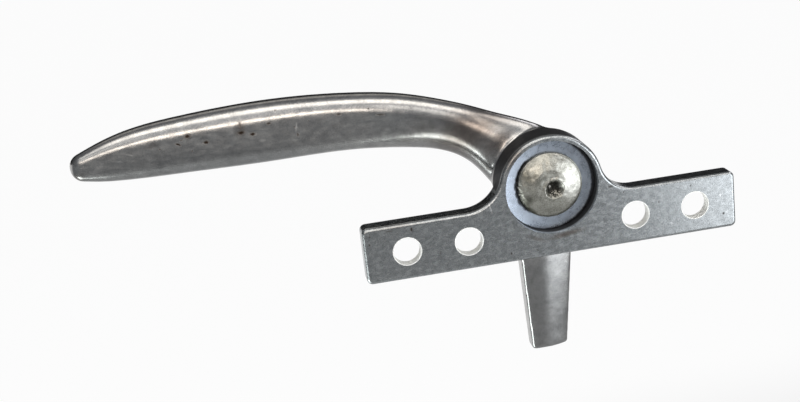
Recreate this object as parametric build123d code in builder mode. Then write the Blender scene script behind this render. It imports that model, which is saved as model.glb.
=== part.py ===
from build123d import *
from math import cos, radians, sin
import os

# A cam handle for a casement window: a plate that is screwed to the sash, and a cast handle whose spindle
# turns in it and is spun over behind it. X runs along the plate, Z up from the cam nose to the grip, and
# Y from the sash into the room. The origin is on the spindle's axis, in the plate's back face.

os.makedirs("parts", exist_ok=True)

# Base plate
bar_length = 86.0
bar_height = 13.1
bar_thickness = 5.0
bar_shift = 0.6  # the bar's middle lies this far to the grip's side of the spindle
bar_drop = 2.9  # from the spindle's axis down to the bar's top edge
bar_corner_radius = 1.3
back_edge_radius = 0.7
front_edge_radius = 1.0
boss_radius = 11.95
boss_height = 7.8
boss_edge_radius = 0.6
grip_side_fillet = 8.6  # where the boss runs into the bar's top edge
far_side_fillet = 7.5

# Screw holes, countersunk from the room side
outer_hole_spacing = 66.7
inner_hole_spacing = 38.6
hole_diameter = 6.3
countersink_diameter = 10.4
countersink_angle = 82

# Counterbore, spindle and washers
counterbore_radius = 10.65
web_thickness = 2.4
spindle_diameter = 9.5
spindle_clearance = 0.05
washer_clearance = 0.15
flat_washer_thickness = 1.2
spring_washer_thickness = 0.6
spring_washer_cone = 0.6

# Spun head
head_radius = 7.5
head_rim = 0.9
head_dome = 1.9
head_edge_radius = 0.3
centre_mark_diameter = 3.8
centre_mark_angle = 75
centre_pilot_diameter = 1.2
centre_mark_depth = 2.4
centre_mark_across = 0.8  # the mark was drilled off the axis
centre_mark_drop = 0.95
end_play = 0.05  # under the head, and again between the hub and the boss

# Hub
hub_radius = 11.2
hub_side = 4.0
hub_dome = 5.0
casting_blend = 0.5

# Neck: its root on the hub, and its slimmest section. Reach is measured from the spindle's axis along the
# plate, height from the axis up to the section's middle, and back from the sash
root_overlap = 5.0  # how far the root runs on past the axis inside the hub
root_reach = 2.0
root_height = 3.4
root_width = 19.6
root_relief = 0.8  # the root's back stands this much clear of the hub's back face
root_thickness = 8.4
neck_reach = 20.0
neck_height = 13.75
neck_width = 12.2
neck_back = 12.2
neck_thickness = 9.2

# Grip: its shoulder, its widest section and its tip
shoulder_reach = 40.0
shoulder_height = 16.3
shoulder_width = 13.4
shoulder_back = 19.0
shoulder_thickness = 9.5
grip_middle = 60.0
grip_height = 16.4
grip_width = 14.5
grip_standoff = 21.5
grip_thickness = 9.7
grip_reach = 105.6
tip_radius = 3.35
tip_taper = 19  # the angle at which the sides run into the tip's round
tip_height = 14.3
tip_back = 22.7
tip_thickness = 5.4
neck_flank = 0.43  # shares of the width that the back's rounded edges take, first on the neck
upper_flank = 0.27
lower_flank = 0.22
flank_turn = 0.36  # share of the thickness that they take

# Cam nose
nose_reach = 41.8
nose_root_width = 15.3
nose_tip_width = 8.8
nose_root_thickness = 5.8
nose_tip_thickness = 4.6
nose_roll = 1.6  # how far the leading edge is rolled back from the keeper
nose_relief = 0.3  # the nose stands this much clear of the hub's back face
nose_heel = 0.35
nose_crown = 0.12  # share of the width from the middle to the crown
nose_root_shift = 0.35  # from the spindle's axis across to the middle of the root
nose_tip_shift = -1.4
nose_corner_radius = 1.8
nose_edge_radius = 0.5
nose_room_edge_radius = 1.2

# Places worked out from the sizes
bar_middle = -bar_drop - bar_height / 2
spindle_radius = spindle_diameter / 2
counterbore_floor = boss_height - web_thickness
spring_height = spring_washer_thickness + spring_washer_cone
washer_face = counterbore_floor - spring_height - flat_washer_thickness
washer_bore = spindle_radius + washer_clearance
washer_radius = counterbore_radius - washer_clearance
head_seat = washer_face - end_play
head_apex = head_seat - head_rim - head_dome
hub_back = boss_height + end_play
hub_front = hub_back + hub_side + hub_dome
nose_back = hub_back + nose_relief
nose_middle = nose_back + (nose_roll + nose_tip_thickness) / 2
pick_margin = 0.01  # tells an edge or corner that lies on a line from one beside it

tip_reach = grip_reach - tip_radius * (1 - sin(radians(tip_taper)))
tip_width = 2 * tip_radius * cos(radians(tip_taper))

# Neck and grip stations: reach, height, width, back, thickness, upper flank and lower flank
neck_flanks = (neck_flank, neck_flank)
grip_flanks = (upper_flank, lower_flank)
root = (root_reach, root_height, root_width, hub_back + root_relief, root_thickness, *neck_flanks)
neck = (neck_reach, neck_height, neck_width, neck_back, neck_thickness, *neck_flanks)
shoulder = (shoulder_reach, shoulder_height, shoulder_width, shoulder_back, shoulder_thickness, *grip_flanks)
widest = (grip_middle, grip_height, grip_width, grip_standoff, grip_thickness, *grip_flanks)
tip = (tip_reach, tip_height, tip_width, tip_back, tip_thickness, *grip_flanks)


def between(first, last, shares):
    # A station whose sizes lie these shares of the way from one station to another
    return tuple(a + share * (b - a) for a, b, share in zip(first, last, shares))


grip_stations = [
    (-root_overlap, 0.5 * root_height, 0.8 * root_width, root[3], 0.76 * root_thickness, *neck_flanks),
    root,
    between(root, neck, (0.39, 0.29, 0.04, 0.08, 0.5, 0, 0)),
    between(root, neck, (0.67, 0.71, 0.68, 0.37, 0.75, 0, 0)),
    neck,
    between(neck, shoulder, (0.4, 0.62, 0.38, 0.5, 0.33, 0.45, 0.45)),
    shoulder,
    widest,
    between(widest, tip, (0.46, 0.17, 0.14, 0.58, 0.19, 0, 0)),
    between(widest, tip, (0.79, 0.55, 0.45, 0.83, 0.53, 0, 0)),
    between(widest, tip, (0.91, 0.81, 0.72, 0.92, 0.79, 0, 0)),
    tip,
]

# The tip is rounded off by stations on a circle
tip_stations = []
for angle in (tip_taper, 35, 50, 65, 80):
    share = cos(radians(angle)) / cos(radians(tip_taper))
    reach = grip_reach - tip_radius * (1 - sin(radians(angle)))
    back = tip_back + tip_thickness * (1 - share) / 2
    tip_stations.append((reach, tip_height, tip_width * share, back, tip_thickness * share, *grip_flanks))


def depth(y):
    # A sketch plane parallel with the sash; extruding by a minus amount goes into the room
    return Plane.XZ.offset(-y)


def cap_radius(rim, height):
    # The sphere whose cap has this rim radius and this height
    return (rim**2 + height**2) / (2 * height)


# Base plate: bar and boss in one outline with rounded edges, then the boss raised for the hub to turn on
with BuildPart() as base_plate:
    with BuildSketch(depth(0)) as outline:
        with Locations((-bar_shift, bar_middle)):
            RectangleRounded(bar_length, bar_height, bar_corner_radius)
        Circle(boss_radius)
        for corner_radius, side in ((grip_side_fillet, -1), (far_side_fillet, 1)):
            on_bar_top = outline.vertices().filter_by(lambda v: abs(v.Y + bar_drop) < pick_margin)
            corner = on_bar_top.filter_by(lambda v: 0 < v.X * side < boss_radius)
            fillet(corner, corner_radius)
    extrude(amount=-bar_thickness)
    fillet(base_plate.faces().sort_by(Axis.Y)[0].edges(), back_edge_radius)
    fillet(base_plate.faces().sort_by(Axis.Y)[-1].edges(), front_edge_radius)
    with BuildSketch(depth(bar_thickness - front_edge_radius)):
        Circle(boss_radius)
    extrude(amount=-(boss_height - bar_thickness + front_edge_radius))
    fillet(base_plate.faces().sort_by(Axis.Y)[-1].edges(), boss_edge_radius)
    with Locations(depth(0)):
        CounterBoreHole(spindle_radius + spindle_clearance, counterbore_radius, counterbore_floor)
    with Locations(Plane.ZX.offset(bar_thickness)):
        for spacing in (outer_hole_spacing, inner_hole_spacing):
            with Locations((bar_middle, -bar_shift - spacing / 2), (bar_middle, -bar_shift + spacing / 2)):
                CounterSinkHole(hole_diameter / 2, countersink_diameter / 2, None, countersink_angle)

# Coned spring washer, which bears on the counterbore's floor by its rim and on the flat washer by its bore
with BuildPart() as spring_washer:
    with BuildSketch(Plane.XY):
        with BuildLine():
            Polyline(
                (washer_bore, counterbore_floor - spring_height),
                (washer_bore, counterbore_floor - spring_washer_cone),
                (washer_radius, counterbore_floor),
                (washer_radius, counterbore_floor - spring_washer_thickness),
                close=True,
            )
        make_face()
    revolve(axis=Axis.Y)

# Flat washer between the spring and the spun head
with BuildPart() as flat_washer:
    with BuildSketch(depth(washer_face)):
        Circle(washer_radius)
        Circle(washer_bore, mode=Mode.SUBTRACT)
    extrude(amount=-flat_washer_thickness)

# Hub, spindle and spun head, turned about the spindle's axis
with BuildPart() as hub:
    with BuildSketch(Plane.XY):
        with BuildLine():
            Line((0, head_apex), (0, hub_front))
            RadiusArc((0, hub_front), (hub_radius, hub_front - hub_dome), cap_radius(hub_radius, hub_dome))
            Polyline(
                (hub_radius, hub_front - hub_dome),
                (hub_radius, hub_back),
                (spindle_radius, hub_back),
                (spindle_radius, head_seat),
                (head_radius, head_seat),
                (head_radius, head_seat - head_rim),
            )
            RadiusArc((head_radius, head_seat - head_rim), (0, head_apex), cap_radius(head_radius, head_dome))
        make_face()
    revolve(axis=Axis.Y)
    circles = hub.edges().filter_by(GeomType.CIRCLE).filter_by_position(Axis.Y, head_apex, head_seat)
    fillet(circles.sort_by(SortBy.RADIUS)[-2:], head_edge_radius)
    with Locations(depth(head_apex)):
        with Locations((centre_mark_across, -centre_mark_drop)):
            CounterSinkHole(
                centre_pilot_diameter / 2, centre_mark_diameter / 2, centre_mark_depth, centre_mark_angle
            )

# Neck and grip: each station has a flat back towards the sash, two rounded flanks, and a half-ellipse
# towards the room
with BuildPart() as grip:
    for stations in (grip_stations, tip_stations):
        for reach, middle, width, back, thickness, upper_share, lower_share in stations:
            top = middle + width / 2
            bottom = middle - width / 2
            rise = upper_share * width
            fall = lower_share * width
            turn = flank_turn * thickness
            with BuildSketch(Plane.YZ.offset(-reach)):
                with BuildLine():
                    Line((back, bottom + fall), (back, top - rise))
                    EllipticalCenterArc((back + turn, top - rise), turn, rise, 180, arc_size=-90)
                    EllipticalCenterArc((back + turn, middle), thickness - turn, width / 2, 90, arc_size=-180)
                    EllipticalCenterArc((back + turn, bottom + fall), turn, fall, 270, arc_size=-90)
                make_face()
        loft()

# Cam nose: its working face is crowned, and rolled back at the leading edge so that it rides up on the keeper
with BuildPart() as nose:
    for drop, middle, width, thickness in (
        (0, nose_root_shift, nose_root_width, nose_root_thickness),
        (nose_reach, nose_tip_shift, nose_tip_width, nose_tip_thickness),
    ):
        heel = (middle - width / 2, nose_back + nose_heel)
        crown = (middle - nose_crown * width, nose_back)
        lead = (middle + width / 2, nose_back + nose_roll)
        room = nose_back + thickness
        with BuildSketch(Plane.XY.offset(-drop)):
            with BuildLine():
                ThreePointArc(heel, crown, lead)
                Polyline(lead, (middle + width / 2, room), (middle - width / 2, room), heel)
            make_face()
    loft()
    fillet(nose.faces().sort_by(Axis.Z)[0].edges().filter_by(Axis.Y), nose_corner_radius)
    below_root = nose.edges().filter_by(lambda e: e.center().Z < -pick_margin)
    fillet(below_root.filter_by(lambda e: max((e @ 0).Y, (e @ 1).Y) < nose_middle), nose_edge_radius)
    below_root = nose.edges().filter_by(lambda e: e.center().Z < -pick_margin)
    fillet(below_root.filter_by(lambda e: min((e @ 0).Y, (e @ 1).Y) > nose_middle), nose_room_edge_radius)

# Handle: the three forms are one casting, with a small blend where the neck leaves the hub
with BuildPart() as cam_handle:
    add(hub.part)
    add(grip.part)
    fillet(cam_handle.edges(Select.NEW), casting_blend)
    add(nose.part)

for name, piece in (
    ("base_plate", base_plate),
    ("spring_washer", spring_washer),
    ("flat_washer", flat_washer),
    ("cam_handle", cam_handle),
):
    piece.part.label = name
    export_step(piece.part, f"parts/{name}.step")
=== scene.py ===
import math
import bmesh
import bpy
from mathutils import Matrix, Vector, noise


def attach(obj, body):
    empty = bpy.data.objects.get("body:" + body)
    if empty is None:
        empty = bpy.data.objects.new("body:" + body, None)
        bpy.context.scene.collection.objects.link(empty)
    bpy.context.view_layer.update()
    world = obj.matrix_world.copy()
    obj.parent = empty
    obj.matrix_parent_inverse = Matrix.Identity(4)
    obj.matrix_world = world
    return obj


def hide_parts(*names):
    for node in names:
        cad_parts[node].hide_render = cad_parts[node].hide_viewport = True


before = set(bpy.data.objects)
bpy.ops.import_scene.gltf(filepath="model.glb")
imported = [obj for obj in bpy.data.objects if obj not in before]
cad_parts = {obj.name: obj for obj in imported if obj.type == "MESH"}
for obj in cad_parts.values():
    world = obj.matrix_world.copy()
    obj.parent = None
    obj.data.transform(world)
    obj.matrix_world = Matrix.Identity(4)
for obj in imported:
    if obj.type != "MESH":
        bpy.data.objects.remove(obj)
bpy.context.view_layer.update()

mm = 0.001
tiny = 1e-6  # metres: points nearer than this are one


def toLinear(hexText):
    # sRGB hex text to the linear colour that the shaders work in
    channels = [int(hexText[i : i + 2], 16) / 255 for i in (0, 2, 4)]
    return [c / 12.92 if c <= 0.04045 else ((c + 0.055) / 1.055) ** 2.4 for c in channels] + [1.0]


def addNode(tree, kind, settings=None, links=None):
    # settings go to sockets by name or number, or to the node itself; links are {socket: other socket}
    node = tree.nodes.new("ShaderNode" + kind)
    for key, value in (settings or {}).items():
        if isinstance(key, str) and hasattr(node, key):
            setattr(node, key, value)
        else:
            node.inputs[key].default_value = value
    for key, source in (links or {}).items():
        tree.links.new(source, node.inputs[key])
    return node


def splineThrough(xs, ys):
    # A natural cubic through the points, as a function
    n = len(xs)
    steps = [xs[i + 1] - xs[i] for i in range(n - 1)]
    slopes = [(ys[i + 1] - ys[i]) / steps[i] for i in range(n - 1)]
    bends = [0.0] * n
    upper = [0.0] * n
    right = [0.0] * n
    for i in range(1, n - 1):
        p = 2 * (steps[i - 1] + steps[i]) - steps[i - 1] * upper[i - 1]
        upper[i] = steps[i] / p
        right[i] = (6 * (slopes[i] - slopes[i - 1]) - steps[i - 1] * right[i - 1]) / p
    for i in range(n - 2, 0, -1):
        bends[i] = right[i] - upper[i] * bends[i + 1]

    def value(x):
        i = max(j for j in range(n - 1) if j == 0 or xs[j] <= x)
        a = (xs[i + 1] - x) / steps[i]
        b = (x - xs[i]) / steps[i]
        curve = ((a**3 - a) * bends[i] + (b**3 - b) * bends[i + 1]) * steps[i] ** 2 / 6
        return a * ys[i] + b * ys[i + 1] + curve

    return value


def finishMesh(bm, name, smooth=True):
    bmesh.ops.remove_doubles(bm, verts=bm.verts, dist=tiny)
    bmesh.ops.recalc_face_normals(bm, faces=bm.faces)
    for face in bm.faces:
        face.smooth = smooth
    mesh = bpy.data.meshes.new(name)
    bm.to_mesh(mesh)
    bm.free()
    piece = bpy.data.objects.new(name, mesh)
    bpy.context.scene.collection.objects.link(piece)
    return piece


# Camera, fitted to the photograph
cameraPlace = {
    "location": (-69.15, -279.83, 89.86),  # mm
    "towards": (0.118094, 0.947797, -0.296200),
    "roll": 6.79,  # degrees
    "focal": 1348.5,  # in pixels of a frame 800 wide
    "frameWidth": 800,
    "sensorWidth": 36,  # mm
    "nearest": 10,  # mm; nothing closer is drawn
}


def makeCamera(c):
    cameraData = bpy.data.cameras.new("photoCamera")
    cameraData.sensor_width = c["sensorWidth"]
    cameraData.lens = c["focal"] * c["sensorWidth"] / c["frameWidth"]
    cameraData.clip_start = c["nearest"] * mm
    camera = bpy.data.objects.new("photoCamera", cameraData)
    bpy.context.scene.collection.objects.link(camera)
    aim = Vector(c["towards"]).to_track_quat("-Z", "Y").to_matrix()
    turned = aim @ Matrix.Rotation(-math.radians(c["roll"]), 3, "Z")
    camera.matrix_world = Matrix.Translation(Vector(c["location"]) * mm) @ turned.to_4x4()
    bpy.context.scene.camera = camera


makeCamera(cameraPlace)
print("camera placed")


# Grip, neck, hub and nose: one casting
grip = {
    # reach from the spindle's axis, height, width, depth of the back and thickness in mm, and the shares of
    # the width that the back's upper and lower rounded edges take
    "stations": [
        (-5, 1.7, 15.68, 8.65, 6.38, 0.43, 0.43),
        (2, 3.4, 19.6, 8.65, 8.4, 0.43, 0.43),
        (9.02, 6.4, 19.3, 8.93, 8.8, 0.43, 0.43),
        (14.06, 10.75, 14.57, 9.96, 9, 0.43, 0.43),
        (20, 13.75, 12.2, 12.2, 9.2, 0.43, 0.43),
        (28, 15.33, 12.66, 15.6, 9.3, 0.38, 0.35),
        (40, 16.3, 13.4, 19, 9.5, 0.32, 0.24),
        (60, 16.4, 14.5, 21.5, 9.7, 0.32, 0.24),
        (79.94, 16.04, 13.36, 22.2, 8.88, 0.32, 0.24),
        (94.24, 15.24, 10.83, 22.5, 7.42, 0.32, 0.24),
        (99.44, 14.7, 8.62, 22.6, 6.3, 0.32, 0.24),
        (103.34, 14.3, 6.33, 22.7, 5.4, 0.32, 0.24),
    ],
    "reach": 105.6,
    "tipRadius": 3.35,
    "tipTaper": 19,  # degrees at which the sides run into the tip's round
    "tipStep": 5, "tipTo": 84,  # degrees between the round's rings, and where the last one is
    "flankTurn": 0.36,  # share of the thickness that the rounded edges take
    "ringSpacing": 0.6,
    "flatSteps": 14,
    "flankSteps": 14,
    "frontSteps": 54,
}
hub = {"radius": 11.2, "back": 7.85, "side": 4.0, "dome": 5.0, "steps": 160, "capSteps": 24}
# The nose runs between two sections, at its root and its tip, whose backs are arcs from the heel over the
# crown to the lead
nose = {
    "reach": 41.79,
    "rootWidth": 15.3,
    "tipWidth": 8.8,
    "rootThickness": 5.8,
    "tipThickness": 4.6,
    "back": 8.15,
    "heel": 0.35,
    "roll": 1.6,
    "crown": 0.12,  # share of the width by which the crown is off the middle, towards the heel
    "rootShift": 0.35,
    "tipShift": -1.4,
    "cornerRadius": 1.8,
    "edgeRadius": 0.5,
    "roomEdgeRadius": 1.2,
    "backSteps": 18,
    "bevelSteps": 6,
    "sharpAngle": 40,  # degrees: edges that turn more are rounded
    "rootClear": 0.1,  # mm; the root's own edges, inside the hub, are left alone
}
casting = {
    "voxel": 0.3,  # mm
    "smoothing": 6, "seamSmoothing": 10,  # rounds over the whole piece, and more over its seams
    "seamReach": 16.5,  # mm from the axis at the plate's back face
}


def ringPoints(g, reach, height, width, back, thickness, upperFlank, lowerFlank):
    # One section of the grip
    top = height + width / 2
    bottom = height - width / 2
    rise = upperFlank * width
    fall = lowerFlank * width
    turn = g["flankTurn"] * thickness
    points = []
    for i in range(g["flatSteps"]):  # up the flat back
        share = i / g["flatSteps"]
        points.append((back, bottom + fall + share * (width - rise - fall)))
    for i in range(g["flankSteps"]):  # upper flank
        a = math.pi / 2 * i / g["flankSteps"]
        points.append((back + turn * (1 - math.cos(a)), top - rise + rise * math.sin(a)))
    for i in range(g["frontSteps"]):  # round the side towards the room
        a = math.pi * i / g["frontSteps"]
        points.append((back + turn + (thickness - turn) * math.sin(a), height + width / 2 * math.cos(a)))
    for i in range(g["flankSteps"]):  # lower flank
        a = math.pi / 2 * i / g["flankSteps"]
        points.append((back + turn * (1 - math.sin(a)), bottom + fall - fall * math.cos(a)))
    return [Vector((-reach, y, z)) * mm for y, z in points]


def makeGrip(g):
    bm = bmesh.new()
    reaches, *columns = zip(*g["stations"])
    curves = [splineThrough(reaches, column) for column in columns]
    count = math.ceil((reaches[-1] - reaches[0]) / g["ringSpacing"])
    rings = []
    for i in range(count + 1):
        reach = reaches[0] + (reaches[-1] - reaches[0]) * i / count
        rings.append([reach] + [curve(reach) for curve in curves])
    _, height, fullWidth, back, fullThickness, upperFlank, lowerFlank = rings[-1]
    for angle in range(g["tipTaper"] + g["tipStep"], g["tipTo"] + 1, g["tipStep"]):  # the tip's round
        out = g["reach"] - g["tipRadius"] * (1 - math.sin(math.radians(angle)))
        width = 2 * g["tipRadius"] * math.cos(math.radians(angle))
        thickness = fullThickness * width / fullWidth
        inset = (fullThickness - thickness) / 2
        rings.append([out, height, width, back + inset, thickness, upperFlank, lowerFlank])
    loops = []
    for ring in rings:
        verts = [bm.verts.new(p) for p in ringPoints(g, *ring)]
        loops.append([bm.edges.new((verts[i - 1], verts[i])) for i in range(len(verts))])
    for before, after in zip(loops, loops[1:]):
        bmesh.ops.bridge_loops(bm, edges=before + after)
    for end in (loops[0], loops[-1]):
        bmesh.ops.contextual_create(bm, geom=end)
    return finishMesh(bm, "gripForm")


def spinProfile(points, steps, name):
    # points are (radius, depth) in mm; they're turned about the spindle's axis
    bm = bmesh.new()
    verts = [bm.verts.new((r * mm, y * mm, 0)) for r, y in points]
    edges = [bm.edges.new(pair) for pair in zip(verts, verts[1:])]
    bmesh.ops.spin(
        bm, geom=verts + edges, cent=(0, 0, 0), axis=(0, 1, 0), dvec=(0, 0, 0),
        angle=2 * math.pi, steps=steps, use_merge=True,
    )
    return finishMesh(bm, name)


def makeHub(h):
    ball = (h["radius"] ** 2 + h["dome"] ** 2) / (2 * h["dome"])
    front = h["back"] + h["side"] + h["dome"]
    reachAngle = math.asin(h["radius"] / ball)
    cap = []
    for i in range(h["capSteps"] + 1):
        a = reachAngle * i / h["capSteps"]
        cap.append((ball * math.sin(a), front - ball * (1 - math.cos(a))))
    return spinProfile(cap + [(h["radius"], h["back"]), (0, h["back"])], h["steps"], "hubForm")


def circleThrough(a, b, c):
    # Centre and radius
    d = 2 * (a.x * (b.y - c.y) + b.x * (c.y - a.y) + c.x * (a.y - b.y))
    aa, bb, cc = (p.length_squared for p in (a, b, c))
    centre = Vector((
        (aa * (b.y - c.y) + bb * (c.y - a.y) + cc * (a.y - b.y)) / d,
        (aa * (c.x - b.x) + bb * (a.x - c.x) + cc * (b.x - a.x)) / d,
    ))
    return centre, (b - centre).length


def makeNose(n):
    # The two sections are joined, and then the tip's corners and the long edges are rounded
    bm = bmesh.new()
    loops = []
    for drop, middle, width, thickness in (
        (0, n["rootShift"], n["rootWidth"], n["rootThickness"]),
        (n["reach"], n["tipShift"], n["tipWidth"], n["tipThickness"]),
    ):
        heel = Vector((middle - width / 2, n["back"] + n["heel"]))
        crown = Vector((middle - n["crown"] * width, n["back"]))
        lead = Vector((middle + width / 2, n["back"] + n["roll"]))
        centre, radius = circleThrough(heel, crown, lead)
        points = []
        for i in range(n["backSteps"] + 1):
            x = heel.x + (lead.x - heel.x) * i / n["backSteps"]
            points.append((x, centre.y - math.sqrt(radius**2 - (x - centre.x) ** 2)))
        room = n["back"] + thickness
        points += [(lead.x, room), (heel.x, room)]
        verts = [bm.verts.new((x * mm, y * mm, -drop * mm)) for x, y in points]
        loops.append([bm.edges.new((verts[i - 1], verts[i])) for i in range(len(verts))])
        bm.faces.new(verts)
    bmesh.ops.bridge_loops(bm, edges=loops[0] + loops[1])
    bmesh.ops.recalc_face_normals(bm, faces=bm.faces)
    low = -n["reach"] * mm + tiny
    middleDepth = (n["back"] + (n["roll"] + n["tipThickness"]) / 2) * mm

    def isCorner(e):
        return all(v.co.z < low for v in e.verts) and abs(e.verts[0].co.x - e.verts[1].co.x) < tiny

    def sharpEdges():
        return [
            e for e in bm.edges
            if e.calc_face_angle(0) > math.radians(n["sharpAngle"])
            and (e.verts[0].co.z + e.verts[1].co.z) / 2 < -n["rootClear"] * mm
        ]

    def bevelEdges(edges, radius):
        bmesh.ops.bevel(
            bm, geom=edges, offset=radius * mm, offset_type="OFFSET", affect="EDGES",
            segments=n["bevelSteps"], profile=0.5, material=-1, clamp_overlap=True,
        )

    bevelEdges([e for e in bm.edges if isCorner(e)], n["cornerRadius"])
    backEdges = [e for e in sharpEdges() if max(v.co.y for v in e.verts) < middleDepth]
    bevelEdges(backEdges, n["edgeRadius"])
    roomEdges = [e for e in sharpEdges() if min(v.co.y for v in e.verts) > middleDepth]
    bevelEdges(roomEdges, n["roomEdgeRadius"])
    return finishMesh(bm, "noseForm")


def smoothVerts(bm, verts, times):
    for _ in range(times):
        bmesh.ops.smooth_vert(
            bm, verts=verts, factor=0.5, use_axis_x=True, use_axis_y=True, use_axis_z=True,
        )


def makeCasting(c):
    # The three forms are fused, and the seams are smoothed as a casting's are
    forms = [makeGrip(grip), makeHub(hub), makeNose(nose)]
    whole = bmesh.new()
    for form in forms:
        whole.from_mesh(form.data)
        bpy.data.objects.remove(form)
    mesh = bpy.data.meshes.new("castHandle")
    whole.to_mesh(mesh)
    whole.free()
    piece = bpy.data.objects.new("castHandle", mesh)
    bpy.context.scene.collection.objects.link(piece)
    remesh = piece.modifiers.new("fuse", "REMESH")
    remesh.mode = "VOXEL"
    remesh.voxel_size = c["voxel"] * mm
    remesh.use_smooth_shade = True
    bpy.context.view_layer.update()
    evaluated = piece.evaluated_get(bpy.context.evaluated_depsgraph_get())
    fused = bpy.data.meshes.new_from_object(evaluated)
    piece.modifiers.clear()
    piece.data = fused
    bm = bmesh.new()
    bm.from_mesh(fused)
    smoothVerts(bm, bm.verts, c["smoothing"])
    seam = [v for v in bm.verts if v.co.length < c["seamReach"] * mm]
    smoothVerts(bm, seam, c["seamSmoothing"])
    bm.to_mesh(fused)
    bm.free()
    for polygon in fused.polygons:
        polygon.use_smooth = True
    fused.name = "castHandle"
    return piece


castHandle = makeCasting(casting)
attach(castHandle, "handle")
print("casting made:", len(castHandle.data.polygons), "faces")


# Spun head: the spindle's end, spread over the washer by a hammer and a spinning tool
spunHead = {
    # mm; the seat, the apex and the stem's end are depths from the plate's back face
    "radius": 7.5, "seat": 2.95, "rim": 0.8, "apex": 0.7, "edge": 0.25,
    "steps": 240, "crownSteps": 58, "edgeSteps": 5,
    "crownPower": 2.2,  # the higher, the flatter the middle
    "ridge": 3.8,  # radius of the ring that the tool left
    "dish": 0.3, "dishPower": 1.3,
    "stemRadius": 4.75, "stemEnd": 7.9,
    "underside": 0.1,  # points nearer to the seat than this aren't moved
    "clear": 0.02,  # no point comes nearer to the plate's back face than this
    "dents": 0.06, "dentSize": 2.8, "fineDents": 0.5, "fineDentSize": 0.9,
    "dentFade": 1.2, "dentEnd": 0.2,  # the width that they fade out over, and how far past the rim it ends
    "markAcross": 0.75, "markDrop": 0.8, "markRadius": 2.15, "markDepth": 1.5, "markPower": 1.4,
    "markUneven": 0.25, "markUnevenSize": 0.8, "markRough": 0.3, "markRoughSize": 0.45,
    "lipHeight": 0.1, "lipWidth": 0.7,
    "raggedFrom": 150, "raggedTo": 232,  # degrees round the rim
    "ragged": 0.42, "raggedWidth": 1.2,  # how far the rim is torn back, and how far in from it that begins
    "biteMean": 0.5, "biteSize": 4, "fineBites": 0.7, "fineBiteSize": 1.6,  # sizes in degrees
    "curl": 0.12, "curlSize": 2.3,
    "seed": 7.3,
}


def makeSpunHead(h):
    low = h["seat"] - h["rim"]
    points = []
    for i in range(h["crownSteps"]):  # a low crown, dished inside the tool's ring
        r = (h["radius"] - h["edge"]) * i / h["crownSteps"]
        dish = h["dish"] * max(0, 1 - (r / h["ridge"]) ** 2) ** h["dishPower"]
        points.append((r, h["apex"] + (low - h["apex"]) * (r / h["radius"]) ** h["crownPower"] + dish))
    for i in range(h["edgeSteps"] + 1):
        a = math.pi / 2 * i / h["edgeSteps"]
        points.append((h["radius"] - h["edge"] * (1 - math.sin(a)), low + h["edge"] * (1 - math.cos(a))))
    points += [(h["radius"], h["seat"]), (h["stemRadius"], h["seat"]), (h["stemRadius"], h["stemEnd"])]
    piece = spinProfile(points, h["steps"], "spunHead")
    seed = Vector((h["seed"], 0, 0))
    middle = (h["raggedFrom"] + h["raggedTo"]) / 2
    halfArc = (h["raggedTo"] - h["raggedFrom"]) / 2
    for vertex in piece.data.vertices:
        x, y, z = vertex.co / mm
        r = math.hypot(x, z)
        if y > h["seat"] - h["underside"]:
            continue
        # hammer dents
        at = Vector((x, 0, z))
        fade = min(1, max(0, (h["radius"] + h["dentEnd"] - r) / h["dentFade"]))
        dent = noise.noise(at / h["dentSize"] + seed)
        dent += h["fineDents"] * noise.noise(at / h["fineDentSize"] + seed)
        y += h["dents"] * fade * dent
        # the centre mark: a drilled pit with a raised lip, torn at the bottom
        off = math.hypot(x - h["markAcross"], z + h["markDrop"])
        off += h["markUneven"] * noise.noise(at / h["markUnevenSize"] - seed)
        if off < h["markRadius"]:
            share = 1 - (off / h["markRadius"]) ** 2
            y += h["markDepth"] * share ** h["markPower"]
            y += h["markRough"] * share * noise.noise(at / h["markRoughSize"] + 3 * seed)
        elif off < h["markRadius"] + h["lipWidth"]:
            y -= h["lipHeight"] * (1 - (off - h["markRadius"]) / h["lipWidth"])
        # the torn edge on the grip's side, from three rows of the noise
        angle = math.degrees(math.atan2(z, x)) % 360
        share = 1 - abs(angle - middle) / halfArc
        if share > 0 and r > h["radius"] - h["raggedWidth"]:
            strength = min(1, 2 * share)
            out = r - h["radius"] + h["raggedWidth"]
            bite = h["biteMean"] + noise.noise(Vector((angle / h["biteSize"], 0, 0)) + seed)
            bite += h["fineBites"] * noise.noise(Vector((angle / h["fineBiteSize"], 5, 0)))
            inset = h["ragged"] * strength * max(0, bite) * out / h["raggedWidth"]
            x *= 1 - inset / r
            z *= 1 - inset / r
            y -= h["curl"] * strength * noise.noise(Vector((angle / h["curlSize"], 1, 0))) * out
        vertex.co = Vector((x, max(y, h["clear"]), z)) * mm
    return piece


headPiece = makeSpunHead(spunHead)
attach(headPiece, "handle")
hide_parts("cam_handle")
print("spun head made")


# Materials. Patterns are in object coordinates, so a scale is 1 over the size in metres
core = 0.3  # share of a mark's reach that has its full strength


def startMaterial(name, roughness):
    material = bpy.data.materials.new(name)
    material.use_nodes = True
    tree = material.node_tree
    shader = tree.nodes["Principled BSDF"]
    shader.inputs["Metallic"].default_value = 1.0
    shader.inputs["Roughness"].default_value = roughness
    return material, tree, shader, addNode(tree, "TexCoord").outputs["Object"]


def addLayer(tree, below, mask, hexText):
    # One colour over another, by a mask
    layer = addNode(tree, "Mix", {"data_type": "RGBA", "B": toLinear(hexText)}, {
        "Factor": mask, "A": below,
    })
    return layer.outputs["Result"]


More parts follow.
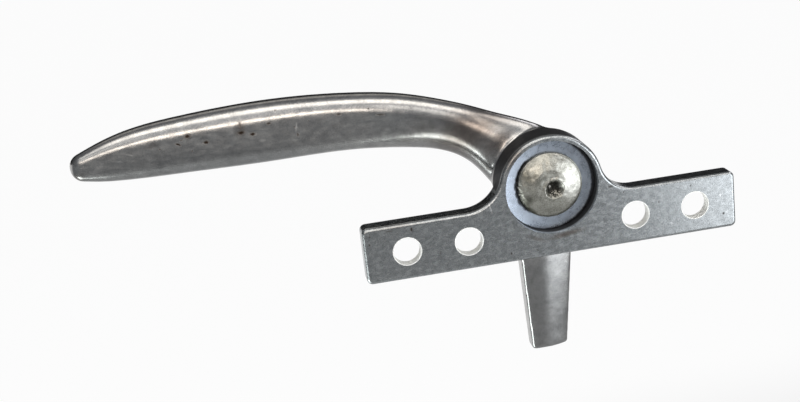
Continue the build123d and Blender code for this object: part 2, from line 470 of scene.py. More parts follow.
def addFromAxis(tree, coords, centre=(0, 0)):
    # How far a point is from an axis that lies along Y: X and Z of the axis in mm
    level = addNode(tree, "VectorMath", {"operation": "MULTIPLY", 1: (1, 0, 1)}, {0: coords})
    away = addNode(tree, "VectorMath", {
        "operation": "DISTANCE", 1: (centre[0] * mm, 0, centre[1] * mm),
    }, {0: level.outputs[0]})
    return away.outputs["Value"]


def addSpots(tree, coords, spots, wobble, wobbleSize):
    # One mask of many marks, each a torn ellipsoid: place and half sizes in mm, turn about Y in degrees and
    # strength
    torn = addNode(tree, "TexNoise", {
        "Scale": 1 / (wobbleSize * mm), "Detail": 3.0, "Roughness": 0.6,
    }, {"Vector": coords})
    shift = addNode(tree, "VectorMath", {
        "operation": "MULTIPLY_ADD", 1: (2 * wobble * mm,) * 3, 2: (-wobble * mm,) * 3,
    }, {0: torn.outputs["Color"]})
    moved = addNode(tree, "VectorMath", {"operation": "ADD"}, {0: coords, 1: shift.outputs[0]})
    total = None
    for place, half, turn, strength in spots:
        local = addNode(tree, "Mapping", {
            "vector_type": "TEXTURE",
            "Location": [c * mm for c in place],
            "Rotation": (0, math.radians(turn), 0),
            "Scale": [c * mm for c in half],
        }, {"Vector": moved.outputs[0]})
        away = addNode(tree, "VectorMath", {"operation": "LENGTH"}, {0: local.outputs[0]})
        mask = addNode(tree, "MapRange", {
            "From Min": 1.0, "From Max": core, "To Min": 0.0, "To Max": strength,
        }, {"Value": away.outputs["Value"]})
        if total is None:
            total = mask.outputs[0]
            continue
        both = addNode(tree, "Math", {"operation": "MAXIMUM"}, {0: total, 1: mask.outputs[0]})
        total = both.outputs[0]
    return total


def addPepper(tree, coords, spacing, radius, share):
    # Scattered specks: a share of the cells have one, each at its own place
    cells = addNode(tree, "TexVoronoi", {"Scale": 1 / (spacing * mm)}, {"Vector": coords})
    draw = addNode(tree, "SeparateColor", None, {0: cells.outputs["Color"]})
    chosen = addNode(tree, "Math", {"operation": "LESS_THAN", 1: share}, {0: draw.outputs[0]})
    speck = addNode(tree, "MapRange", {
        "From Min": radius / spacing, "From Max": core * radius / spacing,
    }, {"Value": cells.outputs["Distance"]})
    specks = addNode(tree, "Math", {"operation": "MULTIPLY"}, {0: chosen.outputs[0], 1: speck.outputs[0]})
    return specks.outputs[0]


def addSkin(tree, coords, look):
    # The skin of the metal: cloudy patches with a fine grain over them. Gives colour and height
    clouds = addNode(tree, "TexNoise", {
        "Scale": 1 / (look["mottleSize"] * mm), "Detail": 5.0, "Roughness": 0.62,
    }, {"Vector": coords})
    grain = addNode(tree, "TexNoise", {
        "Scale": 1 / (look["grainSize"] * mm), "Detail": 2.0, "Roughness": 0.5,
    }, {"Vector": coords})
    both = addNode(tree, "Mix", {"data_type": "FLOAT", "Factor": look["grainShare"]}, {
        "A": clouds.outputs["Fac"], "B": grain.outputs["Fac"],
    })
    shade = addNode(tree, "MapRange", {  # the noise seldom leaves this range
        "From Min": 0.34, "From Max": 0.66,
    }, {"Value": both.outputs["Result"]})
    colour = addNode(tree, "Mix", {
        "data_type": "RGBA", "A": toLinear(look["pale"]), "B": toLinear(look["dark"]),
    }, {"Factor": shade.outputs[0]})
    waves = addNode(tree, "Math", {"operation": "MULTIPLY", 1: look["waveHeight"] * mm}, {
        0: clouds.outputs["Fac"],
    })
    height = addNode(tree, "Math", {"operation": "MULTIPLY_ADD", 1: look["grainHeight"] * mm}, {
        0: grain.outputs["Fac"], 2: waves.outputs[0],
    })
    return colour.outputs["Result"], height.outputs[0]


def addBrushing(tree, coords, look):
    # Roughness in fine streaks along the piece, as polishing leaves them
    stretched = addNode(tree, "Mapping", {
        "Scale": [1 / (size * mm) for size in look["streak"]],
    }, {"Vector": coords})
    streaks = addNode(tree, "TexNoise", {"Scale": 1.0, "Detail": 3.0, "Roughness": 0.55}, {
        "Vector": stretched.outputs[0],
    })
    rough = addNode(tree, "MapRange", {
        "From Min": 0.35, "From Max": 0.65, "To Min": look["roughness"][0], "To Max": look["roughness"][1],
    }, {"Value": streaks.outputs["Fac"]})
    return rough.outputs[0]


def joinShader(tree, shader, colour, rough, height):
    # Height is in metres, so the bump is as deep as it says
    tree.links.new(colour, shader.inputs["Base Color"])
    tree.links.new(rough, shader.inputs["Roughness"])
    bump = addNode(tree, "Bump", {"Strength": 1.0, "Distance": 1.0}, {"Height": height})
    tree.links.new(bump.outputs[0], shader.inputs["Normal"])


bronzeLook = {
    "pale": "bcbbb9", "dark": "979695",
    "mottleSize": 2.6, "grainSize": 0.3, "grainShare": 0.4,  # mm; the real grain is finer than a pixel
    "waveHeight": 0.014, "grainHeight": 0.004,  # mm
    "streak": (2.4, 1.0, 0.9), "roughness": (0.19, 0.26),  # mm along the piece, through it and across it
    "darkTone": "584639",
    "patchEdge": (1.2, 3.0),  # how far the outlines are torn, and in pieces of what size, in mm
    "darkPatches": [  # place, half sizes, turn, strength
        ((-16.0, 11.0, 12.8), (14.0, 7.0, 7.0), -20, 0.62),
        ((-26.0, 13.5, 13.5), (12.0, 5.0, 4.5), -6, 0.3),
        ((-9.5, 8.5, 10.0), (6.0, 4.0, 3.0), -30, 0.5),
        ((-86.0, 22.3, 17.6), (2.2, 2.0, 0.8), 0, 0.3),
        ((-78.1, 22.2, 18.5), (1.6, 2.0, 1.0), 0, 0.35),
        ((-66.0, 21.8, 18.1), (1.5, 2.0, 2.2), 0, 0.4),
        ((-103.5, 24.0, 12.6), (2.4, 3.0, 1.6), 0, 0.3),
    ],
    "paintedShade": "5e6467",
    "shadedEdge": (0.5, 4.0),
    "shadedPlaces": [  # painted shade, darker and cooler, along the grip's lower edge, near its tip and on the nose
        ((-72.0, 21.9, 13.2), (38.0, 3.0, 1.0), 1.5, 0.34),
        ((-72.0, 22.0, 11.0), (50.0, 6.0, 5.0), 1.5, 0.32),
        ((-98.0, 24.0, 17.6), (14.0, 3.0, 1.4), -8, 0.4),
        ((-2.0, 8.5, -32.0), (11.0, 5.0, 26.0), 0, 0.28),
    ],
    "pit": "332922", "pitDepth": 0.008, "pitRough": 0.25,
    "pitEdge": (0.25, 0.6),
    "pits": [
        ((-78.1, 22.2, 18.5), (1.0, 1.5, 0.7), 0, 1.0),
        ((-80.4, 22.2, 16.9), (1.0, 1.5, 0.4), 30, 1.0),
        ((-79.6, 22.2, 17.8), (0.5, 1.5, 0.3), 0, 0.8),
        ((-74.1, 22.1, 16.5), (1.0, 1.5, 0.65), 0, 1.0),
        ((-66.0, 21.8, 17.6), (1.15, 1.5, 0.65), 0, 1.0),
        ((-66.0, 21.8, 19.4), (0.5, 1.5, 1.2), 0, 0.6),
        ((-63.5, 21.7, 16.9), (1.1, 1.5, 0.65), 0, 1.0),
        ((-59.5, 21.5, 18.9), (0.8, 1.5, 0.5), 0, 0.9),
        ((-57.6, 21.6, 21.6), (0.5, 1.5, 0.3), 0, 0.6),
        ((-43.5, 19.7, 19.0), (0.9, 1.5, 0.45), 0, 0.8),
        ((-53.3, 21.0, 15.4), (0.35, 1.5, 0.7), 0, 0.8),
        ((-34.2, 17.6, 18.0), (1.5, 1.5, 0.35), 8, 0.8),
    ],
    "scratch": "e2e0dc",
    "scratchEdge": (0.15, 0.5),
    "scratches": [
        ((-53.4, 21.0, 17.2), (0.3, 1.5, 1.5), 12, 1.0),
        ((-91.4, 22.4, 16.0), (1.4, 1.5, 0.25), 20, 0.55),
        ((-94.2, 22.4, 14.9), (1.0, 1.5, 0.22), 12, 0.55),
        ((-61.4, 21.6, 15.1), (0.9, 1.5, 0.5), 0, 0.45),
        ((-54.0, 21.0, 14.2), (1.0, 1.5, 0.3), 0, 0.4),
    ],
    "pepper": (3.4, 0.26, 0.22),  # spacing and radius in mm, and the share of cells that have one
}


def makeCastBronze(name, look):
    # White bronze, sand cast and tumbled: a satin grey metal whose streaks soften each highlight, brown in
    # the neck's hollow where no hand rubs it, with pits of the casting open at the surface
    material, tree, shader, coords = startMaterial(name, look["roughness"][0])
    colour, height = addSkin(tree, coords, look)
    rough = addBrushing(tree, coords, look)
    darkPatch = addSpots(tree, coords, look["darkPatches"], *look["patchEdge"])
    placed = addSpots(tree, coords, look["pits"], *look["pitEdge"])
    pepper = addPepper(tree, coords, *look["pepper"])
    pits = addNode(tree, "Math", {"operation": "MAXIMUM"}, {0: placed, 1: pepper}).outputs[0]
    scratch = addSpots(tree, coords, look["scratches"], *look["scratchEdge"])
    # Painted shade on the grip's lower edge, near its tip and on the nose
    shadedPlaces = addSpots(tree, coords, look["shadedPlaces"], *look["shadedEdge"])
    colour = addLayer(tree, colour, shadedPlaces, look["paintedShade"])
    colour = addLayer(tree, colour, darkPatch, look["darkTone"])
    colour = addLayer(tree, colour, pits, look["pit"])
    colour = addLayer(tree, colour, scratch, look["scratch"])
    rougher = addNode(tree, "Math", {"operation": "MULTIPLY_ADD", 1: look["pitRough"]}, {0: pits, 2: rough})
    height = addNode(tree, "Math", {"operation": "MULTIPLY_ADD", 1: -look["pitDepth"] * mm}, {
        0: pits, 2: height,
    })
    joinShader(tree, shader, colour, rougher.outputs[0], height.outputs[0])
    return material


plateLook = {
    "pale": "b8bbbc", "dark": "8a8d8e",
    "mottleSize": 1.3, "grainSize": 0.28, "grainShare": 0.5,
    "waveHeight": 0.006, "grainHeight": 0.004,
    "streak": (1.6, 1.0, 0.9), "roughness": (0.21, 0.31),
    "darkTone": "665547",
    "patchEdge": (0.3, 1.6),
    "darkPatches": [
        # the first two are painted shade below the counterbore's lower rim; the last only darkens the boss's
        # upper left
        ((2.6, 0.0, -11.3), (5.2, 1.5, 0.9), -8, 0.6),
        ((-4.5, 0.0, -11.4), (3.0, 1.5, 0.7), 25, 0.35),
        ((-36.0, 0.0, -3.2), (7.0, 1.5, 0.8), 0, 0.25),
        ((-8.2, 0.0, 8.0), (4.0, 1.5, 3.6), -45, 0.5),
    ],
    "pit": "3d3835", "pitDepth": 0.008, "pitRough": 0.25,
    "pitEdge": (0.2, 0.5),
    "pits": [
        ((-32.5, 0.0, -4.5), (0.45, 1.5, 0.75), 0, 1.0),
        ((-37.6, 0.0, -4.1), (1.3, 1.5, 0.22), 0, 0.8),
        ((-42.2, 0.0, -6.6), (0.35, 1.5, 0.5), 0, 0.9),
        ((-41.9, 0.0, -4.8), (0.3, 1.5, 0.4), 0, 0.8),
        ((-26.7, 0.0, -11.1), (0.3, 1.5, 0.6), 0, 0.6),
        ((-24.3, 0.0, -7.0), (0.6, 1.5, 0.25), 20, 0.5),
        ((-10.6, 0.0, -13.9), (0.35, 1.5, 0.5), 0, 0.9),
        ((-4.6, 0.0, -14.0), (0.4, 1.5, 0.4), 0, 0.6),
        ((39.4, 0.0, -12.5), (0.35, 1.5, 0.35), 0, 0.9),
        ((13.3, 0.1, -1.9), (0.9, 1.5, 0.5), 0, 0.8),
        ((24.2, 0.0, -7.3), (0.35, 1.5, 0.3), 0, 0.6),
    ],
    "scratch": "e6e6e6",
    "scratchEdge": (0.15, 0.5),
    "scratches": [
        ((-14.4, 0.0, -2.6), (0.25, 1.5, 1.7), -12, 0.9),
        ((21.6, 0.0, -9.0), (0.5, 1.5, 0.3), 0, 0.6),
        ((27.0, 0.0, -12.8), (0.5, 1.5, 0.3), 30, 0.5),
        ((38.8, 0.0, -8.0), (0.3, 1.5, 0.5), 0, 0.6),
    ],
    "pepper": (2.6, 0.22, 0.3),
    "flecks": (1.9, 0.3, 0.3), "fleckShare": 0.3,
    "drilled": "fafaf8", "drilledTo": 3.35, "drilledFade": 0.1,  # mm from a hole's axis
    "drilledRough": 0.5,
    "holes": (19.3, 33.35), "holesMiddle": (-0.6, -9.45),  # mm; how far each pair is from the middle
    "sinkFrom": 2.64, "sinkAngle": 41, "thickness": 5,  # the countersinks flare from here to the far face
    # old grease in the counterbore, with painted shade there and on the boss's outer wall towards the grip
    "greaseAndShade": "141316", "greaseAndShadeShare": 0.96, "greaseAndShadeRough": 0.35, "greaseAndShadeShine": 0.25,
    "greaseAndShadeTo": 12.6, "greaseAndShadeFade": 0.5, "greaseAndShadeDepth": (0.35, 1.3),  # mm from the axis, and in depth
    "wallFrom": (11.2, 11.6),  # mm from the axis: the boss's outer wall
    "gripward": (-0.7, 0, 0.7),
    "awayFromGrip": (4.0, -3.0), "wallLift": 0.8,  # lighter away from the grip, over this stretch
}


def makePlateBronze(name, look):
    # The same bronze, ground flat at the back: cooler and finer in grain, bright where it was drilled and
    # countersunk, and black in the counterbore and round the boss that the hub turns on, from old grease and
    # painted shade, with painted shade below the counterbore's rim
    material, tree, shader, coords = startMaterial(name, look["roughness"][0])
    colour, height = addSkin(tree, coords, look)
    rough = addBrushing(tree, coords, look)
    darkPatch = addSpots(tree, coords, look["darkPatches"], *look["patchEdge"])
    placed = addSpots(tree, coords, look["pits"], *look["pitEdge"])
    pepper = addPepper(tree, coords, *look["pepper"])
    pits = addNode(tree, "Math", {"operation": "MAXIMUM"}, {0: placed, 1: pepper}).outputs[0]
    flecks = addPepper(tree, coords, *look["flecks"])
    faint = addNode(tree, "Math", {"operation": "MULTIPLY", 1: look["fleckShare"]}, {0: flecks})
    scratch = addSpots(tree, coords, look["scratches"], *look["scratchEdge"])
    pale = addNode(tree, "Math", {"operation": "MAXIMUM"}, {0: scratch, 1: faint.outputs[0]})

    # Drilled walls: how far each point is from the nearest hole's axis, less the countersink's flare
    middle = addNode(tree, "VectorMath", {
        "operation": "SUBTRACT", 1: (look["holesMiddle"][0] * mm, 0, look["holesMiddle"][1] * mm),
    }, {0: coords})
    folded = addNode(tree, "VectorMath", {"operation": "ABSOLUTE"}, {0: middle.outputs[0]})
    inner, outer = [addFromAxis(tree, folded.outputs[0], (x, 0)) for x in look["holes"]]
    nearest = addNode(tree, "Math", {"operation": "MINIMUM"}, {0: inner, 1: outer})
    place = addNode(tree, "SeparateXYZ", None, {0: coords})
    widest = (look["thickness"] - look["sinkFrom"]) * math.tan(math.radians(look["sinkAngle"]))
    flare = addNode(tree, "MapRange", {
        "From Min": look["sinkFrom"] * mm, "From Max": look["thickness"] * mm,
        "To Min": 0.0, "To Max": widest * mm,
    }, {"Value": place.outputs["Y"]})
    inside = addNode(tree, "Math", {"operation": "SUBTRACT"}, {0: nearest.outputs[0], 1: flare.outputs[0]})
    drilled = addNode(tree, "MapRange", {
        "From Min": look["drilledTo"] * mm, "From Max": (look["drilledTo"] - look["drilledFade"]) * mm,
    }, {"Value": inside.outputs[0]})

    # Old grease in the counterbore, and painted shade there and on the boss's outer wall: near the spindle's
    # axis and deeper than the rim, and lifted from the wall away from the grip, so that the wall stays dark
    # on the grip's side
    fromAxis = addFromAxis(tree, coords)
    close = addNode(tree, "MapRange", {
        "From Min": (look["greaseAndShadeTo"] + look["greaseAndShadeFade"]) * mm, "From Max": look["greaseAndShadeTo"] * mm,
    }, {"Value": fromAxis})
    deep = addNode(tree, "MapRange", {
        "From Min": look["greaseAndShadeDepth"][0] * mm, "From Max": look["greaseAndShadeDepth"][1] * mm,
        "To Max": look["greaseAndShadeShare"],
    }, {"Value": place.outputs["Y"]})
    wall = addNode(tree, "MapRange", {
        "From Min": look["wallFrom"][0] * mm, "From Max": look["wallFrom"][1] * mm,
        "To Max": look["wallLift"],
    }, {"Value": fromAxis})
    gripward = addNode(tree, "VectorMath", {"operation": "DOT_PRODUCT", 1: look["gripward"]}, {0: coords})
    awayFromGrip = addNode(tree, "MapRange", {
        "From Min": look["awayFromGrip"][0] * mm, "From Max": look["awayFromGrip"][1] * mm,
    }, {"Value": gripward.outputs["Value"]})
    lifted = addNode(tree, "Math", {"operation": "MULTIPLY"}, {0: wall.outputs[0], 1: awayFromGrip.outputs[0]})
    kept = addNode(tree, "Math", {"operation": "MULTIPLY_ADD", 1: -1.0, 2: 1.0}, {0: lifted.outputs[0]})
    most = addNode(tree, "Math", {"operation": "MULTIPLY"}, {0: close.outputs[0], 1: deep.outputs[0]})
    left = addNode(tree, "Math", {"operation": "MULTIPLY"}, {0: most.outputs[0], 1: kept.outputs[0]})
    greaseAndShade = left.outputs[0]

    # Dark patches: painted shade below the counterbore's rim, a darker spot at the boss's upper left, and a
    # stain on the bar
    colour = addLayer(tree, colour, darkPatch, look["darkTone"])
    colour = addLayer(tree, colour, pits, look["pit"])
    colour = addLayer(tree, colour, pale.outputs[0], look["scratch"])
    colour = addLayer(tree, colour, drilled.outputs[0], look["drilled"])
    colour = addLayer(tree, colour, greaseAndShade, look["greaseAndShade"])
    rougher = addNode(tree, "Math", {"operation": "MULTIPLY_ADD", 1: look["pitRough"]}, {0: pits, 2: rough})
    cut = addNode(tree, "Math", {"operation": "MULTIPLY_ADD", 1: look["drilledRough"]}, {
        0: drilled.outputs[0], 2: rougher.outputs[0],
    })
    greasedAndShaded = addNode(tree, "Math", {"operation": "MULTIPLY_ADD", 1: look["greaseAndShadeRough"]}, {
        0: greaseAndShade, 2: cut.outputs[0],
    })
    metal = addNode(tree, "Math", {"operation": "MULTIPLY_ADD", 1: -1.0, 2: 1.0}, {0: greaseAndShade})
    shader.inputs["Specular IOR Level"].default_value = look["greaseAndShadeShine"]  # the bare metal doesn't use it
    tree.links.new(metal.outputs[0], shader.inputs["Metallic"])
    height = addNode(tree, "Math", {"operation": "MULTIPLY_ADD", 1: -look["pitDepth"] * mm}, {
        0: pits, 2: height,
    })
    joinShader(tree, shader, colour, greasedAndShaded.outputs[0], height.outputs[0])
    return material


headLook = {
    "pale": "bfbeb6", "dark": "84837b",
    "mottleSize": 1.5, "grainSize": 0.26, "grainShare": 0.6,
    "waveHeight": 0.016, "grainHeight": 0.008,
    "streak": (0.9, 0.9, 0.9), "roughness": (0.28, 0.4),
    # the drilled mark's darkening: grime, and painted shade in its hollow
    "darkening": "1b1917", "darkeningShare": 0.93, "darkeningRough": 0.25,
    "markPlace": (0.75, -0.8), "markTo": 2.3, "markCore": 0.62,  # mm, and the share of it that is all black
    "markUneven": 0.7, "markUnevenSize": 0.8,
    "torn": "d8d4ca",  # bright torn metal, painted only low in the mark, where its lower wall faces the light
    "tornGrain": 0.35, "tornFrom": (-1.2, -2.0),
    "darkTone": "4a4a40",
    "patchEdge": (0.4, 1.2),
    # painted shade: darker over the head's left half, its top and its bottom, away from the light on its
    # right
    "darkPatches": [
        ((-5.0, 1.8, -5.0), (3.4, 2.0, 0.9), 46, 0.8),
        ((-2.4, 1.0, 1.6), (2.2, 2.0, 0.7), -35, 0.45),
        ((0.6, 1.0, 3.2), (2.2, 2.0, 0.6), 10, 0.35),
        ((-5.4, 1.5, 2.9), (1.8, 2.0, 3.0), -35, 0.62),
        ((-3.2, 1.2, 2.6), (2.2, 2.0, 2.0), 0, 0.35),
        ((-5.6, 1.7, -3.2), (1.7, 2.0, 3.0), 40, 0.7),
        ((0.2, 1.5, -5.6), (3.6, 2.0, 1.1), 0, 0.3),
    ],
    "flecks": (0.9, 0.14, 0.4), "fleckShare": 0.6,
    "pit": "403a34", "pitDepth": 0.03, "pepper": (1.3, 0.16, 0.4),
    "bright": "f0eee8",
    "brightEdge": (0.2, 0.4),
    # the patch on the right and the fleck in the mark are painted highlights; the four along the left rim
    # are small bright spots
    "brights": [
        ((-7.4, 2.0, 1.6), (0.35, 1.2, 0.3), 0, 1.0),
        ((-7.5, 2.0, 0.6), (0.3, 1.2, 0.35), 0, 1.0),
        ((-7.4, 2.0, -0.6), (0.3, 1.2, 0.3), 0, 1.0),
        ((-7.2, 2.0, -1.6), (0.3, 1.2, 0.3), 0, 0.9),
        ((-0.1, 1.2, -0.4), (0.42, 2.5, 0.45), 0, 1.0),
        ((4.4, 1.3, -0.8), (2.8, 2.0, 4.6), -8, 0.25),
    ],
}


def makeHammeredBronze(name, look):
    # The spindle's end, spun over cold: warm, lightly speckled metal, blackened in the drilled mark by grime
    # and painted shade, with painted shade over its left half and painted highlights on its right and in the
    # mark
    material, tree, shader, coords = startMaterial(name, look["roughness"][0])
    colour, height = addSkin(tree, coords, look)
    rough = addBrushing(tree, coords, look)
    pits = addPepper(tree, coords, *look["pepper"])
    bright = addSpots(tree, coords, look["brights"], *look["brightEdge"])
    darkPatch = addSpots(tree, coords, look["darkPatches"], *look["patchEdge"])
    flecks = addPepper(tree, coords, *look["flecks"])
    faint = addNode(tree, "Math", {"operation": "MULTIPLY", 1: look["fleckShare"]}, {0: flecks})

    # Darkening in the drilled mark, with an uneven edge: grime, and painted shade in its hollow
    fromMark = addFromAxis(tree, coords, look["markPlace"])
    uneven = addNode(tree, "TexNoise", {"Scale": 1 / (look["markUnevenSize"] * mm), "Detail": 3.0}, {
        "Vector": coords,
    })
    reach = addNode(tree, "MapRange", {
        "To Min": -look["markUneven"] * mm, "To Max": look["markUneven"] * mm,
    }, {"Value": uneven.outputs["Fac"]})
    edge = addNode(tree, "Math", {"operation": "ADD"}, {0: fromMark, 1: reach.outputs[0]})
    darkening = addNode(tree, "MapRange", {
        "From Min": look["markTo"] * mm, "From Max": look["markCore"] * look["markTo"] * mm,
        "To Max": look["darkeningShare"],
    }, {"Value": edge.outputs[0]})

    # Grains of bright torn metal inside the dark mark, kept low down as painted light on the mark's lower
    # wall
    grains = addNode(tree, "TexNoise", {"Scale": 1 / (look["tornGrain"] * mm), "Detail": 1.0}, {
        "Vector": coords,
    })
    place = addNode(tree, "SeparateXYZ", None, {0: coords})
    lowDown = addNode(tree, "MapRange", {
        "From Min": look["tornFrom"][0] * mm, "From Max": look["tornFrom"][1] * mm,
    }, {"Value": place.outputs["Z"]})
    edges = addNode(tree, "MapRange", {"From Min": 0.5, "From Max": 0.62}, {"Value": grains.outputs["Fac"]})
    torn = addNode(tree, "Math", {"operation": "MULTIPLY"}, {0: lowDown.outputs[0], 1: edges.outputs[0]})
    tornInside = addNode(tree, "Math", {"operation": "MULTIPLY"}, {0: torn.outputs[0], 1: darkening.outputs[0]})

    # Painted shade over the head's left half, top and bottom
    colour = addLayer(tree, colour, darkPatch, look["darkTone"])
    colour = addLayer(tree, colour, pits, look["pit"])
    colour = addLayer(tree, colour, faint.outputs[0], look["bright"])
    colour = addLayer(tree, colour, darkening.outputs[0], look["darkening"])
    colour = addLayer(tree, colour, tornInside.outputs[0], look["torn"])
    # Painted highlights on the head's right and in the mark, and bright spots along the left rim
    colour = addLayer(tree, colour, bright, look["bright"])
    roughInMark = addNode(tree, "Math", {"operation": "MULTIPLY_ADD", 1: look["darkeningRough"]}, {
        0: darkening.outputs[0], 2: rough,
    })
    height = addNode(tree, "Math", {"operation": "MULTIPLY_ADD", 1: -look["pitDepth"] * mm}, {
        0: pits, 2: height,
    })
    joinShader(tree, shader, colour, roughInMark.outputs[0], height.outputs[0])
    return material


washerLook = {
    "pale": "b4bdc9", "dark": "959da8",
    "mottleSize": 3.0, "grainSize": 0.25, "grainShare": 0.3,
    "waveHeight": 0.004, "grainHeight": 0.002,
    "streak": (1.2, 1.2, 1.2), "roughness": (0.24, 0.34),
    "bowed": 0.12, "bowedAt": 9,  # the slope at so many mm to each side of the axis
    "uneven": 0.5, "unevenSize": 1.4,  # mm by which the painted shade's edges wander
    # painted shade in the gap under the head's torn edge
    "darkening": "22201f", "darkeningTo": 7.75, "darkeningFade": 0.15, "darkeningShare": 0.9,  # mm from the axis
    "gripSide": (1, -6), "gripReach": (1.1, -0.2),  # the painted shade shows past the head's edge only towards the grip
    "rimFrom": 10.35, "rimFade": 0.2, "rimShare": 0.92,  # painted shade against the counterbore's wall
    "rimLean": 0.055, "rimUneven": 0.4,  # it reaches further in on the side away from the grip
}


def makeZincPlated(name, look):
    # Zinc plating with a clear blue passivate on a stamped steel washer: cool and satin, and slightly
    # bowed, so that its sides take different lights, with painted shade under the head's edge and against
    # the counterbore's wall
    material, tree, shader, coords = startMaterial(name, look["roughness"][0])
    colour, height = addSkin(tree, coords, look)
    rough = addBrushing(tree, coords, look)
    fromAxis = addFromAxis(tree, coords)
    across = addNode(tree, "SeparateXYZ", None, {0: coords}).outputs["X"]
    uneven = addNode(tree, "TexNoise", {"Scale": 1 / (look["unevenSize"] * mm), "Detail": 1.0}, {
        "Vector": coords,
    })
    reach = addNode(tree, "MapRange", {
        "To Min": -look["uneven"] * mm, "To Max": look["uneven"] * mm,
    }, {"Value": uneven.outputs["Fac"]})

    # Painted shade in the gap under the head's edge
    gripSide = addNode(tree, "MapRange", {
        "From Min": look["gripSide"][0] * mm, "From Max": look["gripSide"][1] * mm,
        "To Min": look["gripReach"][0] * mm, "To Max": look["gripReach"][1] * mm,
    }, {"Value": across})
    edge = addNode(tree, "Math", {"operation": "ADD"}, {0: fromAxis, 1: reach.outputs[0]})
    shifted = addNode(tree, "Math", {"operation": "ADD"}, {0: edge.outputs[0], 1: gripSide.outputs[0]})
    darkening = addNode(tree, "MapRange", {
        "From Min": (look["darkeningTo"] + look["darkeningFade"]) * mm,
        "From Max": (look["darkeningTo"] - look["darkeningFade"]) * mm,
        "To Max": look["darkeningShare"],
    }, {"Value": shifted.outputs[0]})

    # Painted shade against the counterbore's wall
    evener = addNode(tree, "Math", {"operation": "MULTIPLY_ADD", 1: look["rimUneven"]}, {
        0: reach.outputs[0], 2: fromAxis,
    })
    leaning = addNode(tree, "Math", {"operation": "MULTIPLY_ADD", 1: look["rimLean"]}, {
        0: across, 2: evener.outputs[0],
    })
    rimShade = addNode(tree, "MapRange", {
        "From Min": (look["rimFrom"] - look["rimFade"]) * mm,
        "From Max": (look["rimFrom"] + look["rimFade"]) * mm,
        "To Max": look["rimShare"],
    }, {"Value": leaning.outputs[0]})

    colour = addLayer(tree, colour, darkening.outputs[0], look["darkening"])
    colour = addLayer(tree, colour, rimShade.outputs[0], look["darkening"])
    squared = addNode(tree, "Math", {"operation": "MULTIPLY"}, {0: across, 1: across})
    height = addNode(tree, "Math", {
        "operation": "MULTIPLY_ADD", 1: look["bowed"] / (2 * look["bowedAt"] * mm),
    }, {0: squared.outputs[0], 2: height})
    joinShader(tree, shader, colour, rough, height.outputs[0])
    return material


springLook = {
    "pale": "858a95", "dark": "5d5f67",
    "mottleSize": 1.8, "grainSize": 0.25, "grainShare": 0.4,
    "waveHeight": 0.004, "grainHeight": 0.003,
    "streak": (1.0, 1.0, 1.0), "roughness": (0.34, 0.5),
    "oil": "1d1b1a", "oilSpacing": (1.6, 0.7, 0.5),
}


def makeSpringSteel(name, look):
    # Hardened spring steel, tempered and oiled: dark blue-grey with patches of black oil
    material, tree, shader, coords = startMaterial(name, look["roughness"][0])
    colour, height = addSkin(tree, coords, look)
    oil = addPepper(tree, coords, *look["oilSpacing"])
    colour = addLayer(tree, colour, oil, look["oil"])
    joinShader(tree, shader, colour, addBrushing(tree, coords, look), height)
    return material


castBronze = makeCastBronze("castWhiteBronze", bronzeLook)
finishes = {
    castHandle: castBronze,
    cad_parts["cam_handle"]: castBronze,
    headPiece: makeHammeredBronze("hammeredWhiteBronze", headLook),
    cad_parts["base_plate"]: makePlateBronze("groundWhiteBronze", plateLook),
    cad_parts["flat_washer"]: makeZincPlated("zincPlatedSteel", washerLook),
    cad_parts["spring_washer"]: makeSpringSteel("temperedSpringSteel", springLook),
}
for piece, material in finishes.items():
    piece.data.materials.clear()
    piece.data.materials.append(material)
print("materials made:", len(set(finishes.values())))


# Floor and lights
floorPlace = {
    "size": 30.0,  # metres, as its height and the edges of the wash are
    "height": -0.25,
    "paper": "dee1e3",
    "roughness": 0.9,
    "glow": 0.96,  # how much of the far floor is washed out to plain white
    "nearEdge": 0.05,  # the wash fades out towards the front, where the paper shows its own shade
    "farEdge": 0.42,
}


def makeFloor(f):
    bm = bmesh.new()
    bmesh.ops.create_grid(bm, x_segments=1, y_segments=1, size=f["size"] / 2)
    bmesh.ops.translate(bm, verts=bm.verts, vec=(0, 0, f["height"]))
    floor = finishMesh(bm, "studioFloor", False)
    material = bpy.data.materials.new("whitePaper")
    material.use_nodes = True
    tree = material.node_tree
    paper = tree.nodes["Principled BSDF"]
    paper.inputs["Base Color"].default_value = toLinear(f["paper"])
    paper.inputs["Roughness"].default_value = f["roughness"]
    rays = addNode(tree, "LightPath")
    seen = addNode(tree, "Math", {"operation": "MAXIMUM"}, {
        0: rays.outputs["Is Camera Ray"], 1: rays.outputs["Is Glossy Ray"],
    })
    seenOrThrough = addNode(tree, "Math", {"operation": "MAXIMUM"}, {
        0: seen.outputs[0], 1: rays.outputs["Is Transmission Ray"],
    })
    place = addNode(tree, "TexCoord")
    along = addNode(tree, "SeparateXYZ", None, {0: place.outputs["Object"]})
    washed = addNode(tree, "MapRange", {
        "interpolation_type": "SMOOTHSTEP",
        "From Min": f["nearEdge"], "From Max": f["farEdge"], "To Min": 0.0, "To Max": f["glow"],
    }, {"Value": along.outputs["Y"]})
    share = addNode(tree, "Math", {"operation": "MULTIPLY"}, {
        0: seenOrThrough.outputs[0], 1: washed.outputs[0],
    })
    glow = addNode(tree, "Emission", {"Color": (1, 1, 1, 1), "Strength": 1.0})
    mix = addNode(tree, "MixShader", None, {
        0: share.outputs[0], 1: paper.outputs[0], 2: glow.outputs[0],
    })
    tree.links.new(mix.outputs[0], tree.nodes["Material Output"].inputs["Surface"])
    floor.data.materials.append(material)


makeFloor(floorPlace)

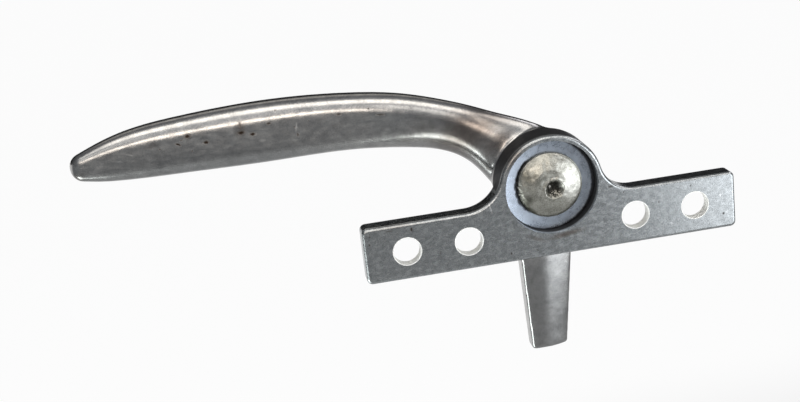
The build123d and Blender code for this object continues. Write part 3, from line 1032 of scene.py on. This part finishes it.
# Each lamp is a soft box that faces the spindle's axis: where it hangs and how wide and high it is, both in
# metres, how bright its face is, how wide it throws in degrees, and its colour
lamps = {
    "overheadStrip": {
        "from": (-0.22, -0.78, 1.12), "size": (1.1, 0.6), "bright": 2.9, "spread": 70, "colour": "fff9f0",
    },
    "overheadBack": {
        "from": (-0.1, 0.55, 1.05), "size": (1.2, 0.4), "bright": 0.7, "spread": 70, "colour": "fff9f0",
    },
    "frontRightBox": {
        "from": (0.15, -1.03, 0.5), "size": (0.36, 0.5), "bright": 2.4, "spread": 70, "colour": "fff9f0",
    },
    "frontLeftBox": {
        "from": (-0.49, -0.95, 0.5), "size": (0.28, 0.34), "bright": 1.6, "spread": 70, "colour": "fff9f0",
    },
    "overheadRight": {
        "from": (0.66, -0.6, 0.84), "size": (0.6, 0.6), "bright": 2.6, "spread": 70, "colour": "fffaf4",
    },
    "rightHighBox": {
        "from": (0.75, 0.22, 0.62), "size": (0.5, 0.5), "bright": 2.9, "spread": 70, "colour": "fdfbff",
    },
    "frontStrip": {
        "from": (-0.18, -1.35, 0.165), "size": (0.72, 0.25), "bright": 4.3, "spread": 90, "colour": "fff3e6",
    },
    "rightBox": {
        "from": (0.271, -0.291, -0.047), "size": (0.26, 0.26), "bright": 4.0, "spread": 120,
        "colour": "f5f9fd",
    },
    "leftLowBox": {
        "from": (-0.24, -0.12, -0.2), "size": (0.21, 0.18), "bright": 6.2, "spread": 120, "colour": "f2faf8",
    },
}


def makeLamp(name, l):
    lampData = bpy.data.lights.new(name, "AREA")
    lampData.shape = "RECTANGLE"
    lampData.size, lampData.size_y = l["size"]
    half = math.radians(l["spread"] / 2)
    focus = math.tan(half) / (math.tan(half) - half)  # a narrow spread gathers the same power
    lampData.energy = l["bright"] * math.pi * l["size"][0] * l["size"][1] / focus
    lampData.color = toLinear(l["colour"])[:3]
    lampData.spread = math.radians(l["spread"])
    lamp = bpy.data.objects.new(name, lampData)
    lamp.visible_camera = False
    bpy.context.scene.collection.objects.link(lamp)
    place = Vector(l["from"])
    lamp.matrix_world = Matrix.Translation(place) @ (-place).to_track_quat("-Z", "Y").to_matrix().to_4x4()


for lampName, lampSettings in lamps.items():
    makeLamp(lampName, lampSettings)

# The room: lighter in front and above, dark behind the object
room = {
    "towards": (0.0, -0.8, 0.6),
    "colour": "f2f5fa",
    "steps": [(0.0, 0.012), (0.32, 0.03), (0.5, 0.15), (0.8, 0.25), (1.0, 0.68)],
}


def makeRoom(r):
    world = bpy.data.worlds.new("studio")
    world.use_nodes = True
    tree = world.node_tree
    place = addNode(tree, "TexCoord")
    facing = addNode(tree, "VectorMath", {"operation": "DOT_PRODUCT", 1: r["towards"]}, {
        0: place.outputs["Generated"],
    })
    half = addNode(tree, "MapRange", {"From Min": -1.0, "From Max": 1.0}, {"Value": facing.outputs["Value"]})
    ramp = addNode(tree, "ValToRGB", None, {0: half.outputs[0]})
    shades = ramp.color_ramp
    shades.interpolation = "EASE"
    while len(shades.elements) < len(r["steps"]):
        shades.elements.new(0.5)
    tint = toLinear(r["colour"])
    for element, (position, bright) in zip(shades.elements, r["steps"]):
        element.position = position
        element.color = [c * bright for c in tint[:3]] + [1.0]
    tree.links.new(ramp.outputs[0], tree.nodes["Background"].inputs["Color"])
    tree.nodes["Background"].inputs["Strength"].default_value = 1.0
    bpy.context.scene.world = world


makeRoom(room)
bpy.context.scene.view_settings.view_transform = "Standard"
print("floor and lights made")
